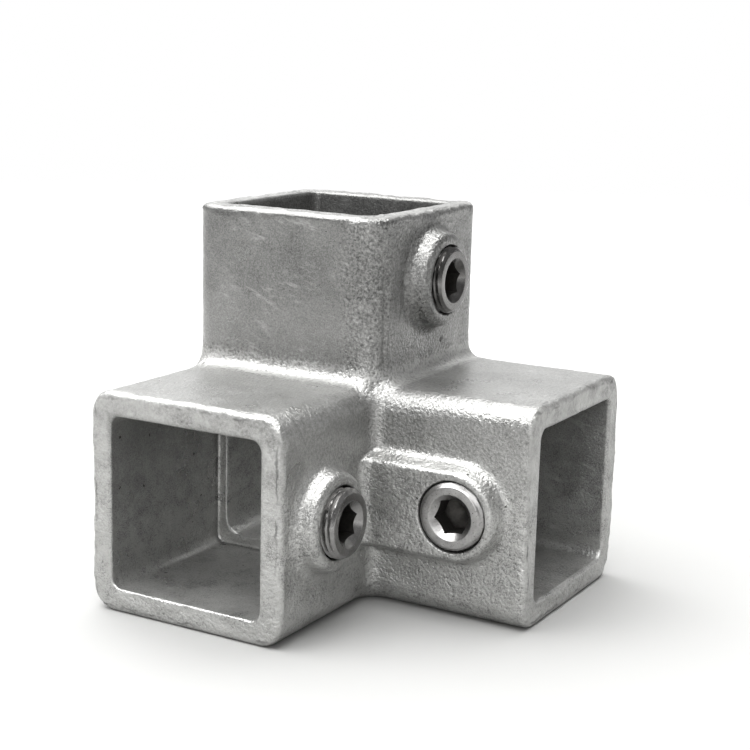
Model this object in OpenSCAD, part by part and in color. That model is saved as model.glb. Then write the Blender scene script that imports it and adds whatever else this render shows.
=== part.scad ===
/* [Casting] */
// Outside width of each square arm
body_w = 54; // [52:0.5:58]
// Distance from the common centre of the arms to the upright arm's mouth
upright_arm_l = 67.5; // [67:0.5:74]
// Distance from the common centre to the left arm's mouth
left_arm_l = 67.5; // [67:0.5:74]
// Distance from the common centre to the right arm's mouth
right_arm_l = 68.5; // [67:0.5:74]
// Radius of the long outside edges
edge_r = 6; // [5:0.1:7]
// Radius of the outside edge round each mouth
mouth_r = 1.5; // [1:0.1:2]
// Radius where two arms meet in an inside corner
joint_r = 3.5; // [2.5:0.1:4]

/* [Sockets] */
// Outside width of the square tube that the connector takes
tube_w = 40; // [40:0.5:41]
// Play between the tube and its socket, both sides together
tube_play = 2.2; // [1.5:0.1:3]
// Radius of the inside corners of a socket
socket_r = 2.5; // [2:0.1:3]
// Rounding of the inside edge of each mouth
lip_r = 0.7; // [0.5:0.1:1.2]
// Distance from the common centre to the ledge that stops a tube
stop_at = 24; // [23.5:0.1:25]
// Width of the ledge that stops a tube
stop_w = 3; // [2.5:0.1:3.5]

/* [Bosses] */
// Distance from the upright arm's mouth to its set screw
upright_screw_in = 17; // [16:0.5:18]
// Distance from the left arm's mouth to its set screw
left_screw_in = 17.5; // [16:0.5:18]
// Distance from the right arm's mouth to its set screw
right_screw_in = 17.5; // [16:0.5:18]
// Height of a boss above the face of its arm
boss_h = 5; // [4.5:0.1:6]
// Radius of the flat face of the upright arm's boss
upright_boss_r = 11.5; // [10.5:0.1:12]
// Radius of the flat face of the left arm's boss
left_boss_r = 11.4; // [10.5:0.1:12]
// Half the width of the right arm's long boss
right_boss_r = 10.5; // [10.2:0.1:11.5]
// How far a round boss widens from its face to its root
round_boss_taper = 1.3; // [0.9:0.1:1.6]
// Radius of the edge round a round boss's face
round_boss_edge_r = 2; // [1:0.1:2.1]
// How far the long boss widens from its face to its root
long_boss_taper = 1.8; // [0.9:0.1:2]
// Radius of the edge round the long boss's face
long_boss_edge_r = 1.3; // [0.8:0.1:1.6]
// Radius at the root of a boss
boss_root_r = 2.6; // [1.5:0.1:2.8]

/* [Set screws] */
// Thread diameter of a set screw
screw_d = 16.66; // [16.66]
// Length of a set screw
screw_l = 13.5; // [12:0.1:13.6]
// How far the upright arm's screw stands out of its boss
upright_screw_out = 1.8; // [0.5:0.1:3]
// How far the left arm's screw stands out of its boss
left_screw_out = 2.6; // [0.5:0.1:3]
// How far the right arm's screw stands out of its boss
right_screw_out = 0.6; // [0.5:0.1:3]
// Height of the bevel at the outer end of a screw
screw_bevel = 1.1; // [0.8:0.1:1.3]
// Height of the bevel at the tip of a screw
tip_bevel = 1.4; // [1:0.1:1.8]
// Hexagon key size, across the flats
hex_af = 8; // [8]
// Depth of the hexagon socket
hex_depth = 6.5; // [5:0.1:7.5]
// Diameter of the countersink over the hexagon socket
hex_sink_d = 11.2; // [10.5:0.1:11.6]
// Play round a screw in its hole, on the radius
thread_play = 0.05; // [0.03:0.01:0.1]
// Bevel at the mouth of a screw hole
hole_bevel = 0.45; // [0.3:0.05:0.8]
// Turn of the hexagon of the upright arm's screw, in degrees
upright_hex_turn = -16; // [-30:1:30]
// Turn of the hexagon of the left arm's screw, in degrees
left_hex_turn = -13; // [-30:1:30]
// Turn of the hexagon of the right arm's screw, in degrees
right_hex_turn = 9; // [-30:1:30]

/* [Hidden] */
half = body_w / 2;
socket_w = tube_w + tube_play;
core_w = socket_w - 2 * stop_w;
core_r = socket_r + 1.5;
hole_r = screw_d / 2 + thread_play;
boss_top = half + boss_h;
upright_screw_at = upright_arm_l - upright_screw_in;
left_screw_at = left_arm_l - left_screw_in;
right_screw_at = right_arm_l - right_screw_in;
sink_h = (hex_sink_d - hex_af) / 2;
hex_r = hex_af / 2 / cos(30);
cup_r = 3.5;
eps = 0.01;
arc_steps = 6;

// Points on an arc about (cx, cy), from angle a0 to angle a1
function arc(cx, cy, r, a0, a1) =
    [for (i = [0:arc_steps]) let (a = a0 + (a1 - a0) * i / arc_steps) [cx + r * cos(a), cy + r * sin(a)]];

// Square of width w with corners of radius r
module rounded_square(w, r) {
    square([w, w - 2 * r], center = true);
    square([w - 2 * r, w], center = true);
    for (x = [-1, 1], y = [-1, 1])
        translate([x * (w / 2 - r), y * (w / 2 - r)])
            circle(r, $fn = 48);
}

// What a square end of width w, with corners of radius r, loses when its edge is rounded by e
module outside_edge(w, r, e) {
    for (k = [0:3]) rotate(90 * k) {
        translate([w / 2 - e, r - w / 2, -e])
            rotate([-90, 0, 0])
                linear_extrude(w - 2 * r)
                    difference() {
                        translate([0, -2 * e]) square(2 * e);
                        circle(e, $fn = 48);
                    }
        translate([w / 2 - r, w / 2 - r, -e])
            rotate_extrude(angle = 90, $fn = 48)
                translate([r - e, 0])
                    difference() {
                        square(2 * e);
                        circle(e, $fn = 48);
                    }
    }
}

// What the rim of a socket of width w, with corners of radius r, loses when it is rounded by e
module inside_edge(w, r, e) {
    for (k = [0:3]) rotate(90 * k) {
        translate([w / 2, r - w / 2, -e])
            rotate([-90, 0, 0])
                linear_extrude(w - 2 * r)
                    difference() {
                        translate([-e, -2 * e]) square(2 * e);
                        translate([e, 0]) circle(e, $fn = 48);
                    }
        translate([w / 2 - r, w / 2 - r, -e])
            rotate_extrude(angle = 90, $fn = 48)
                difference() {
                    translate([r - e, 0]) square(2 * e);
                    translate([r + e, 0]) circle(e, $fn = 48);
                }
    }
}

// Turns a shape drawn about +Z to the upright, left or right arm
module on_upright() { children(); }
module on_left() { rotate([90, 0, 0]) children(); }
module on_right() { rotate([0, 90, 0]) children(); }

// Puts a shape drawn about +Z on the axis of one arm's set screw, at the middle of the arm
module at_upright_screw() { translate([0, 0, upright_screw_at]) rotate([0, 90, 0]) children(); }
module at_left_screw() { translate([0, -left_screw_at, 0]) rotate([0, 90, 0]) children(); }
module at_right_screw() { translate([right_screw_at, 0, 0]) rotate([90, 0, 0]) children(); }

// One solid arm along +Z, from the rounding on the far side of the centre to its mouth at height l
module arm(l) {
    difference() {
        translate([0, 0, edge_r - half])
            linear_extrude(l + half - edge_r)
                rounded_square(body_w, edge_r);
        translate([0, 0, l]) outside_edge(body_w, edge_r, mouth_r);
    }
}

// Fillet in the inside corner between an arm along +X and an arm along +Z
module joint_fillet() {
    translate([half + joint_r, 0, half + joint_r])
        rotate([90, 0, 0])
            rotate(180)
                rotate_extrude(angle = 90, $fn = 64)
                    translate([joint_r, 0])
                        union() {
                            translate([0, edge_r - half]) square([edge_r, body_w - 2 * edge_r]);
                            translate([edge_r, -half]) square([edge_r, body_w]);
                            for (y = [-1, 1])
                                translate([edge_r, y * (half - edge_r)])
                                    intersection() {
                                        circle(edge_r, $fn = 48);
                                        translate([-edge_r, -edge_r]) square([edge_r, 2 * edge_r]);
                                    }
                        }
}

// Half section of a boss with a face of radius r, widening by taper, its edge rounded by e:
// distance from its axis across, height above the arm's face up
function boss_outline(r, taper, e) =
    let (
        lean = atan(taper / boss_h),
        crest_x = r - e * tan((90 - lean) / 2),
        crest_y = boss_h - e,
        root_x = r + taper + boss_root_r * tan((90 - lean) / 2)
    )
    concat(
        [[0, -1], [0, boss_h]],
        arc(crest_x, crest_y, e, 90, lean),
        arc(root_x, boss_root_r, boss_root_r, 180 + lean, 266),
        [[root_x, -1]]
    );

// Round boss about +Z on a face at height half
module round_boss(r, taper = round_boss_taper, e = round_boss_edge_r) {
    translate([0, 0, half])
        rotate_extrude($fn = 96)
            polygon(boss_outline(r, taper, e));
}

// Whole section of the long boss, used where it runs straight
module long_boss_section(r) {
    polygon(boss_outline(r, long_boss_taper, long_boss_edge_r));
    mirror([1, 0]) polygon(boss_outline(r, long_boss_taper, long_boss_edge_r));
}

// Long boss of the right arm: round at the screw, straight to the left arm, and swept into its face
module long_boss(r) {
    at_right_screw() round_boss(r, long_boss_taper, long_boss_edge_r);
    straight = right_screw_at - half - joint_r;
    translate([half + joint_r, -half, 0])
        rotate([90, 0, 90])
            linear_extrude(straight)
                rotate(90) long_boss_section(r);
    translate([half + joint_r, -half - boss_h - joint_r, 0])
        rotate(90)
            rotate_extrude(angle = 90, $fn = 64)
                translate([joint_r + boss_h, 0])
                    rotate(90) long_boss_section(r);
}

// Socket for one tube along +Z with its rounded rim at height l, and the core beyond its ledge
module socket(l) {
    translate([0, 0, stop_at])
        linear_extrude(l - stop_at + 1)
            rounded_square(socket_w, socket_r);
    translate([0, 0, l]) inside_edge(socket_w, socket_r, lip_r);
    translate([0, 0, core_r - core_w / 2])
        linear_extrude(stop_at + core_w / 2 - core_r + eps)
            rounded_square(core_w, core_r);
}

// Screw hole about +Z, from inside the socket out through the boss
module screw_hole() {
    translate([0, 0, core_w / 2])
        cylinder(h = half, r = hole_r, $fn = 96);
    translate([0, 0, boss_top - hole_bevel])
        cylinder(h = 2 * hole_bevel, r1 = hole_r, r2 = hole_r + 2 * hole_bevel, $fn = 96);
}

// Set screw about +Z, standing out of its boss, with a hexagon socket outside and a cup at its tip
module set_screw(out, turn) {
    translate([0, 0, boss_top + out - screw_l])
        difference() {
            rotate_extrude($fn = 96)
                polygon([
                    [0, 0],
                    [screw_d / 2 - tip_bevel, 0],
                    [screw_d / 2, tip_bevel],
                    [screw_d / 2, screw_l - screw_bevel],
                    [screw_d / 2 - screw_bevel, screw_l],
                    [0, screw_l]
                ]);
            translate([0, 0, screw_l - hex_depth])
                rotate(turn)
                    cylinder(h = hex_depth + 1, r = hex_r, $fn = 6);
            translate([0, 0, screw_l - hex_depth - 1.2])
                cylinder(h = 1.2 + eps, r1 = 0, r2 = hex_af / 2 - 0.3, $fn = 48);
            translate([0, 0, screw_l - sink_h])
                cylinder(h = sink_h + eps, r1 = hex_af / 2, r2 = hex_sink_d / 2 + eps, $fn = 96);
            translate([0, 0, -eps])
                cylinder(h = 1.2, r1 = cup_r, r2 = cup_r - 1.2, $fn = 48);
        }
}

// The casting, one piece: three arms, their fillets and bosses, the sockets and the screw holes
module corner_casting() {
    color("silver")
        translate([0, 0, half])
            difference() {
                union() {
                    on_upright() arm(upright_arm_l);
                    on_left() arm(left_arm_l);
                    on_right() arm(right_arm_l);
                    translate([edge_r - half, half - edge_r, edge_r - half]) sphere(edge_r, $fn = 48);
                    joint_fillet();
                    rotate([90, 0, 0]) joint_fillet();
                    rotate(-90) joint_fillet();
                    at_upright_screw() round_boss(upright_boss_r);
                    at_left_screw() round_boss(left_boss_r);
                    long_boss(right_boss_r);
                }
                on_upright() socket(upright_arm_l);
                on_left() socket(left_arm_l);
                on_right() socket(right_arm_l);
                translate([core_r - core_w / 2, core_w / 2 - core_r, core_r - core_w / 2])
                    sphere(core_r, $fn = 48);
                at_upright_screw() screw_hole();
                at_left_screw() screw_hole();
                at_right_screw() screw_hole();
            }
}

module upright_set_screw() {
    color("gray")
        translate([0, 0, half])
            at_upright_screw() set_screw(upright_screw_out, upright_hex_turn);
}

module left_set_screw() {
    color("gray")
        translate([0, 0, half])
            at_left_screw() set_screw(left_screw_out, left_hex_turn);
}

module right_set_screw() {
    color("gray")
        translate([0, 0, half])
            at_right_screw() set_screw(right_screw_out, right_hex_turn);
}

corner_casting();
upright_set_screw();
left_set_screw();
right_set_screw();
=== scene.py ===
"""Looks of the square tube corner connector: a galvanised casting and its set screws."""

import sys

import logging
import math
from collections.abc import Callable
from dataclasses import dataclass, field
from enum import Enum
from functools import partial
from typing import Any, ClassVar, NamedTuple

import bpy
from mathutils import Matrix, Vector


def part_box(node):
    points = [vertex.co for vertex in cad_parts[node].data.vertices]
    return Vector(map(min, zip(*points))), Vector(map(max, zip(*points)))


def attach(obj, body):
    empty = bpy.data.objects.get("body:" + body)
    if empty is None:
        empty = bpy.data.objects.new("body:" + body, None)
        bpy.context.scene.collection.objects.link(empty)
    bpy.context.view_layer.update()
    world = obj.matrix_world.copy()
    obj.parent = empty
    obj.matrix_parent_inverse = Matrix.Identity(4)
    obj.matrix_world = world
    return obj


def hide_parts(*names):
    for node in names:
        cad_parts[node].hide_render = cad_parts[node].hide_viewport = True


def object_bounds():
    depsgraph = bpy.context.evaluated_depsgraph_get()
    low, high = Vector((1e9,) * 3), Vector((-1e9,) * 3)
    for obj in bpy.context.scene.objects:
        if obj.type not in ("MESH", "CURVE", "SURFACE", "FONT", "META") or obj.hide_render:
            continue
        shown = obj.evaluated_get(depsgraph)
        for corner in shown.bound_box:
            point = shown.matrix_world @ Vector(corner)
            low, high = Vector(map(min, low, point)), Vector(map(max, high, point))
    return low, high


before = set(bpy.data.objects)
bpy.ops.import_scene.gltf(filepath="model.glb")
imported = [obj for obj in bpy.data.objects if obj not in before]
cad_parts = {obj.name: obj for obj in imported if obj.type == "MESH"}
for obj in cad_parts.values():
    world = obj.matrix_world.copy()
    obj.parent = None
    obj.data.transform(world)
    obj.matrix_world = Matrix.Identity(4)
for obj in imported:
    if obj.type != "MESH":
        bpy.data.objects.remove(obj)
CAD_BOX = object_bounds()

MM = 0.001
ORIGIN = Vector((0, 0, 0))
UP = Vector((0, 0, 1))
BODY = "root"
BUMP = "ShaderNodeBump"
COORDINATES = "ShaderNodeTexCoord"
MATH = "ShaderNodeMath"
MIX = "ShaderNodeMix"
MOVE = "GeometryNodeSetPosition"
NOISE = "ShaderNodeTexNoise"
PRINCIPLED = "ShaderNodeBsdfPrincipled"
RANGE = "ShaderNodeMapRange"
SPLIT = "ShaderNodeSeparateXYZ"
SURFACE = "ShaderNodeOutputMaterial"
VECTOR = "ShaderNodeVectorMath"
SEEDED = {"noise_dimensions": "4D"}
SMOOTH = {"interpolation_type": "SMOOTHSTEP"}
# A noise lies about its mean, and mostly between these limits.
MEAN = 0.5
MOST = (0.35, 0.65)
# Heights in millimetres between which the rougher skin near the floor, with its paler streaks of painted
# light, gives way to the calmer one.
LOW_MM = (18.0, 45.0)
log = logging.getLogger("corner_connector")

Point = tuple[float, float]
Polar = Callable[[float], Point]


def linear(hex_colour: str) -> tuple[float, float, float, float]:
    """Turns an sRGB colour to the linear values that Blender's sockets take.

    Args:
        hex_colour: Colour as #rrggbb.

    Returns:
        Red, green, blue and alpha, each 0 to 1.
    """
    parts = [int(hex_colour[i : i + 2], 16) / 255 for i in (1, 3, 5)]
    red, green, blue = (v / 12.92 if v <= 0.04045 else ((v + 0.055) / 1.055) ** 2.4 for v in parts)
    return red, green, blue, 1.0


def per(size_mm: float) -> float:
    """Gives the noise scale whose features are size_mm across, for coordinates in metres."""
    return 1 / (size_mm * MM)


class Pattern(NamedTuple):
    """A cloudy pattern: its features' size, its fixed seed, its finer detail and its folds."""

    size_mm: float
    seed: float
    detail: float = 2.0
    twist: float = 0.0

    def over(self, place: Any) -> dict[str, Any]:
        """Gives the inputs of the pattern's noise, for an output with coordinates in metres."""
        scale = per(self.size_mm)
        return dict(Vector=place, W=self.seed, Scale=scale, Detail=self.detail, Distortion=self.twist)


class Step(NamedTuple):
    """A step from low, where a value is first, to high, where it is last."""

    first: float
    last: float
    low: float = 0.0
    high: float = 1.0

    def of(self, value: Any, unit: float = 1.0) -> dict[str, Any]:
        """Gives the inputs of a step over a value.

        Args:
            value: Output that the step is taken over.
            unit: The unit that first and last are in, measured in the value's own.

        Returns:
            The inputs.
        """
        ends = {"From Min": self.first * unit, "From Max": self.last * unit}
        return {"Value": value, **ends, "To Min": self.low, "To Max": self.high}


def add_node(
    tree: bpy.types.NodeTree,
    kind: str,
    inputs: dict[str | int, Any] | tuple[Any, ...] = (),
    **settings: Any,
) -> bpy.types.Node:
    """Adds a node to a tree with its settings, values and links.

    Args:
        tree: The material's or the modifier's tree.
        kind: The node's type.
        inputs: The inputs in order, or by name or number. Each is a value, an output, or a node
            whose first output is meant.
        **settings: The node's own settings, such as operation.

    Returns:
        The new node.
    """
    node = tree.nodes.new(kind)
    for name, value in settings.items():
        setattr(node, name, value)
    for key, value in inputs.items() if isinstance(inputs, dict) else enumerate(inputs):
        if isinstance(value, bpy.types.Node):
            value = value.outputs[0]
        if isinstance(value, bpy.types.NodeSocket):
            tree.links.new(value, node.inputs[key])
        else:
            node.inputs[key].default_value = value
    return node


def new_tree(name: str) -> tuple[bpy.types.Material, bpy.types.NodeTree]:
    """Makes an empty material.

    Args:
        name: Name of the finish.

    Returns:
        The material and its tree.
    """
    material = bpy.data.materials.new(name)
    material.use_nodes = True
    material.node_tree.nodes.clear()
    return material, material.node_tree


def square_to(tree: bpy.types.NodeTree, place: Any, centre: Vector, axis: Vector) -> bpy.types.Node:
    """Adds the shortest vector from an axis, which lies along x, y or z, to a place.

    Args:
        tree: The tree that it belongs to.
        place: Output with coordinates in metres.
        centre: A point of the axis.
        axis: Direction of the axis.

    Returns:
        The vector in metres.
    """
    off = add_node(tree, VECTOR, (place, centre), operation="SUBTRACT")
    return add_node(tree, VECTOR, (off, tuple(1 - abs(v) for v in axis)), operation="MULTIPLY")


def from_axis(
    tree: bpy.types.NodeTree, place: Any, centre: Vector, axis: Vector
) -> bpy.types.NodeSocket:
    """Adds the distance of a place from an axis that lies along x, y or z.

    Args:
        tree: The tree that it belongs to.
        place: Output with coordinates in metres.
        centre: A point of the axis.
        axis: Direction of the axis.

    Returns:
        The distance's output in metres.
    """
    flat = square_to(tree, place, centre, axis)
    return add_node(tree, VECTOR, (flat,), operation="LENGTH").outputs["Value"]


class TreeMaker:
    """A Geometry Nodes tree with named inputs, put on a piece and baked to a plain mesh."""

    def __init__(self, name: str, sizes_mm: dict[str, float]) -> None:
        """Starts a tree.

        Args:
            name: Name of the tree.
            sizes_mm: The named inputs and their values in millimetres.
        """
        self.sizes_mm = sizes_mm
        self.tree = bpy.data.node_groups.new(name, "GeometryNodeTree")
        face = self.tree.interface
        face.new_socket("Geometry", in_out="INPUT", socket_type="NodeSocketGeometry")
        self.sockets = {
            key: face.new_socket(key, in_out="INPUT", socket_type="NodeSocketFloat").identifier
            for key in sizes_mm
        }
        face.new_socket("Geometry", in_out="OUTPUT", socket_type="NodeSocketGeometry")
        self.given = add_node(self.tree, "NodeGroupInput").outputs

    def close(self, geometry: Any, finishes: tuple[tuple[bpy.types.Material, Any], ...]) -> None:
        """Ends the tree with real geometry and its materials.

        Args:
            geometry: The last output.
            finishes: Each material with the output that picks its faces, True for all of them.
        """
        geometry = add_node(self.tree, "GeometryNodeRealizeInstances", (geometry,))
        for material, picked in finishes:
            inputs = {"Geometry": geometry, "Selection": picked, "Material": material}
            geometry = add_node(self.tree, "GeometryNodeSetMaterial", inputs)
        add_node(self.tree, "NodeGroupOutput", (geometry,))

    def put_on(self, piece: bpy.types.Object) -> None:
        """Adds the tree to a piece as a modifier, with its sizes set.

        Args:
            piece: The piece, not yet evaluated with the modifier.
        """
        modifier = piece.modifiers.new(self.tree.name, "NODES")
        modifier.node_group = self.tree
        for key, value in self.sizes_mm.items():
            modifier[self.sockets[key]] = value * MM


def settle(piece: bpy.types.Object) -> None:
    """Turns a piece and its modifiers into one plain mesh.

    Args:
        piece: The piece.
    """
    graph = bpy.context.evaluated_depsgraph_get()
    mesh = bpy.data.meshes.new_from_object(piece.evaluated_get(graph))
    piece.modifiers.clear()
    old, piece.data = piece.data, mesh
    bpy.data.meshes.remove(old)


def add_piece(name: str, mesh: bpy.types.Mesh) -> bpy.types.Object:
    """Links a mesh into the scene as a piece at the origin.

    Args:
        name: Name of the piece.
        mesh: Its mesh, in the row frame.

    Returns:
        The piece.
    """
    piece = bpy.data.objects.new(name, mesh)
    bpy.context.scene.collection.objects.link(piece)
    return piece


def count_triangles(piece: bpy.types.Object) -> int:
    """Counts the triangles that a piece's faces come to."""
    return sum(len(face.vertices) - 2 for face in piece.data.polygons)


@dataclass(frozen=True)
class TurnedSteel:
    """Plated turned steel of one screw, tinted per screw: darker on the upright's and left arm's screws as
    painted shade.
    """

    tint: str
    worn_and_shade: str
    roughness: float
    ring_mm: float = 0.22
    ring_depth_mm: float = 0.004
    cloud: Pattern = Pattern(2.5, 5.0, 4.0)
    scuff: Pattern = Pattern(0.5, 9.0)
    scuff_depth_mm: float = 0.012
    scuff_tone: float = 0.8
    scuff_rough: float = 0.16

    def build(self, name: str, centre: Vector, axis: Vector) -> bpy.types.Material:
        """Makes the material.

        Args:
            name: Name of the finish.
            centre: Middle of the screw.
            axis: Direction of the screw.

        Returns:
            The material.
        """
        # Turned steel gives the eye a darker, smoother grey than the zinc, with a sharp light on each
        # bevel and fine rings left by the lathe round the screw's own axis.
        material, tree = new_tree(name)
        place = add_node(tree, COORDINATES).outputs["Object"]
        radius = from_axis(tree, place, centre, axis)
        turns = add_node(tree, MATH, (radius, 2 * math.pi * per(self.ring_mm)), operation="MULTIPLY")
        rings = add_node(tree, MATH, (turns,), operation="SINE")
        cloud = add_node(tree, NOISE, self.cloud.over(place), **SEEDED)
        scuff = add_node(tree, NOISE, self.scuff.over(place), **SEEDED)
        rub = add_node(tree, MATH, (scuff, MEAN), operation="SUBTRACT")
        tone = add_node(tree, MATH, (rub, self.scuff_tone, cloud), operation="MULTIPLY_ADD")
        colours = {0: tone, 6: linear(self.tint), 7: linear(self.worn_and_shade)}
        colour = add_node(tree, MIX, colours, data_type="RGBA").outputs[2]
        rough = (scuff, self.scuff_rough, self.roughness)
        rough = add_node(tree, MATH, rough, operation="MULTIPLY_ADD")
        bump = add_node(tree, BUMP, {"Height": rings, "Distance": self.ring_depth_mm * MM})
        uneven = {"Height": scuff, "Distance": self.scuff_depth_mm * MM, "Normal": bump}
        bump = add_node(tree, BUMP, uneven)
        inputs = {"Base Color": colour, "Metallic": 1.0, "Roughness": rough, "Normal": bump}
        add_node(tree, SURFACE, (add_node(tree, PRINCIPLED, inputs),))
        return material


@dataclass(frozen=True)
class SocketShadeSteel:
    """Steel inside a key socket, painted dark as the shade of the recess."""

    NAME: ClassVar[str] = "socket_shade_steel"
    painted_shade: str = "#232221"
    light: str = "#4d4b48"
    score: Pattern = Pattern(0.8, 2.0, 3.0)
    score_depth_mm: float = 0.03
    metallic: float = 0.8
    roughness: float = 0.42

    def build(self) -> bpy.types.Material:
        """Makes the material.

        Returns:
            The material.
        """
        # The key socket is painted a dark brown-grey as painted shade of the recess, with a dull light on
        # each flat.
        material, tree = new_tree(self.NAME)
        place = add_node(tree, COORDINATES).outputs["Object"]
        score = add_node(tree, NOISE, self.score.over(place), **SEEDED)
        colours = {0: score, 6: linear(self.painted_shade), 7: linear(self.light)}
        colour = add_node(tree, MIX, colours, data_type="RGBA").outputs[2]
        bump = add_node(tree, BUMP, {"Height": score, "Distance": self.score_depth_mm * MM})
        inputs = {"Base Color": colour, "Normal": bump}
        inputs |= {"Metallic": self.metallic, "Roughness": self.roughness}
        add_node(tree, SURFACE, (add_node(tree, PRINCIPLED, inputs),))
        return material


class Facing(Enum):
    """The way a set screw's key socket faces, with the row axes of its own x, y and z."""

    RIGHT = ((0, 0, -1), (0, 1, 0), (1, 0, 0))
    FRONT = ((1, 0, 0), (0, 0, 1), (0, -1, 0))


def turned(points: list[Point]) -> list[Polar]:
    """Gives a round ring for each point of an outline, the same at every angle."""
    return [lambda _angle, point=point: point for point in points]


def between(start: Point, end: Point, rows: int, first: int = 1) -> list[Point]:
    """Gives evenly spaced points on the way from a start to an end.

    Args:
        start: Where the way starts.
        end: Where it ends, which is no point of the list.
        rows: Number of steps from the start to the end.
        first: Number of the first step that is a point, 0 for the start itself.

    Returns:
        The points.
    """
    way = Vector(end) - Vector(start)
    return [tuple(Vector(start) + way * row / rows) for row in range(first, rows)]


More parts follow.
